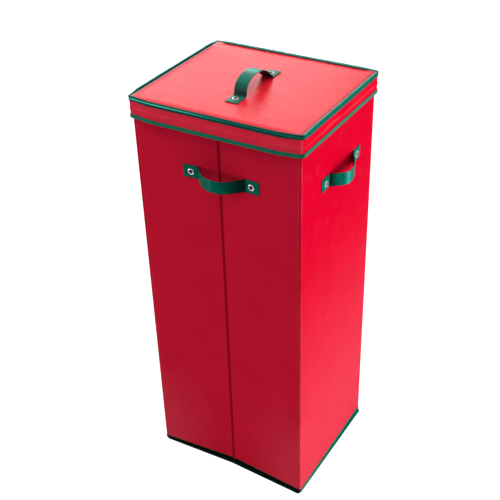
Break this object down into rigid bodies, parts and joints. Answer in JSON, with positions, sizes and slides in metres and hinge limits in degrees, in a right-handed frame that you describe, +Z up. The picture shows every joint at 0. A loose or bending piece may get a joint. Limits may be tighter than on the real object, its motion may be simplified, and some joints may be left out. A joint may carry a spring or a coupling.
{
  "type": "gift wrap organizer",
  "caption": "Tall collapsible storage box of red cloth over boards, with creased front and back, green taped edges, riveted strap handles and a lift-off lid.",
  "frame": {"origin": "on the floor, under the middle of the box", "axes": "+X to the right along the front, +Y from the front to the back, +Z up; the front faces -Y"},
  "size_m": [0.3788, 0.3244, 0.8297],
  "materials": {
    "red_cloth": "smooth coated cloth with a soft sheen",
    "green_tape": "woven binding tape",
    "green_strap": "dense smooth strap with a satin sheen",
    "grey_board": "plain grey board",
    "bright_metal": "bright plated eyelets"
  },
  "bodies": {
    "base_and_left_side": {"base_cloth": "red_cloth", "base_binding": "green_tape", "left_side_cover": "red_cloth", "left_side_board": "grey_board", "left_side_hem": "green_tape", "left_side_rim": "green_tape", "left_side_strap": "green_strap", "left_side_eyelet_near": "bright_metal", "left_side_eyelet_far": "bright_metal"},
    "front_left": {"front_left_cover": "red_cloth", "front_left_board": "grey_board", "front_left_hem": "green_tape", "front_left_rim": "green_tape", "front_strap": "green_strap", "front_eyelet_left": "bright_metal"},
    "front_right": {"front_right_cover": "red_cloth", "front_right_board": "grey_board", "front_right_hem": "green_tape", "front_right_rim": "green_tape", "front_eyelet_right": "bright_metal"},
    "right_side": {"right_side_cover": "red_cloth", "right_side_board": "grey_board", "right_side_hem": "green_tape", "right_side_rim": "green_tape", "right_side_strap": "green_strap", "right_side_eyelet_near": "bright_metal", "right_side_eyelet_far": "bright_metal"},
    "back_left": {"back_left_cover": "red_cloth", "back_left_board": "grey_board", "back_left_hem": "green_tape", "back_left_rim": "green_tape", "back_strap": "green_strap", "back_eyelet_left": "bright_metal"},
    "back_right": {"back_right_cover": "red_cloth", "back_right_board": "grey_board", "back_right_hem": "green_tape", "back_right_rim": "green_tape", "back_eyelet_right": "bright_metal"},
    "base_board": {"base_board": "red_cloth"},
    "lid": {"lid_cover": "red_cloth", "lid_board": "grey_board", "lid_skirt_front": "red_cloth", "lid_skirt_back": "red_cloth", "lid_skirt_left": "red_cloth", "lid_skirt_right": "red_cloth", "lid_edge_binding": "green_tape", "lid_hem_binding": "green_tape", "lid_strap": "green_strap", "lid_eyelet_front": "bright_metal", "lid_eyelet_back": "bright_metal"}
  },
  "joints": [
    {"name": "fold", "type": "hinge", "parent": "base_and_left_side", "child": "front_left", "pos_m": [-0.158, -0.1345, 0], "axis": [0, 0, 1], "range_deg": [-4.3, 52.5], "deforming": ["base_cloth", "base_binding"]},
    {"name": "front_crease", "type": "hinge", "parent": "front_left", "child": "front_right", "pos_m": [0, -0.1265, 0], "axis": [0, 0, 1], "range_deg": [-105, 8.6], "deforming": ["front_strap"]},
    {"name": "front_right_corner", "type": "hinge", "parent": "front_right", "child": "right_side", "pos_m": [0.158, -0.1345, 0], "axis": [0, 0, 1], "range_deg": [-4.3, 52.5]},
    {"name": "back_left_corner", "type": "hinge", "parent": "base_and_left_side", "child": "back_left", "pos_m": [-0.158, 0.1345, 0], "axis": [0, 0, 1], "range_deg": [-52.5, 4.3]},
    {"name": "back_crease", "type": "hinge", "parent": "back_left", "child": "back_right", "pos_m": [0, 0.1265, 0], "axis": [0, 0, 1], "range_deg": [-8.6, 105], "deforming": ["back_strap"]},
    {"name": "base_board_tip", "type": "hinge", "parent": "base_and_left_side", "child": "base_board", "pos_m": [-0.157, 0, 0.0033], "axis": [0, -1, 0], "range_deg": [0, 90]},
    {"name": "lid_lift", "type": "slide", "parent": "base_and_left_side", "child": "lid", "axis": [0, 0, 1], "range_m": [0, 0.12]}
  ],
  "couplings": [
    {"joint": "front_crease", "follows": "fold", "ratio": -2},
    {"joint": "front_right_corner", "follows": "fold", "ratio": 1},
    {"joint": "back_left_corner", "follows": "fold", "ratio": -1},
    {"joint": "back_crease", "follows": "fold", "ratio": 2}
  ]
}
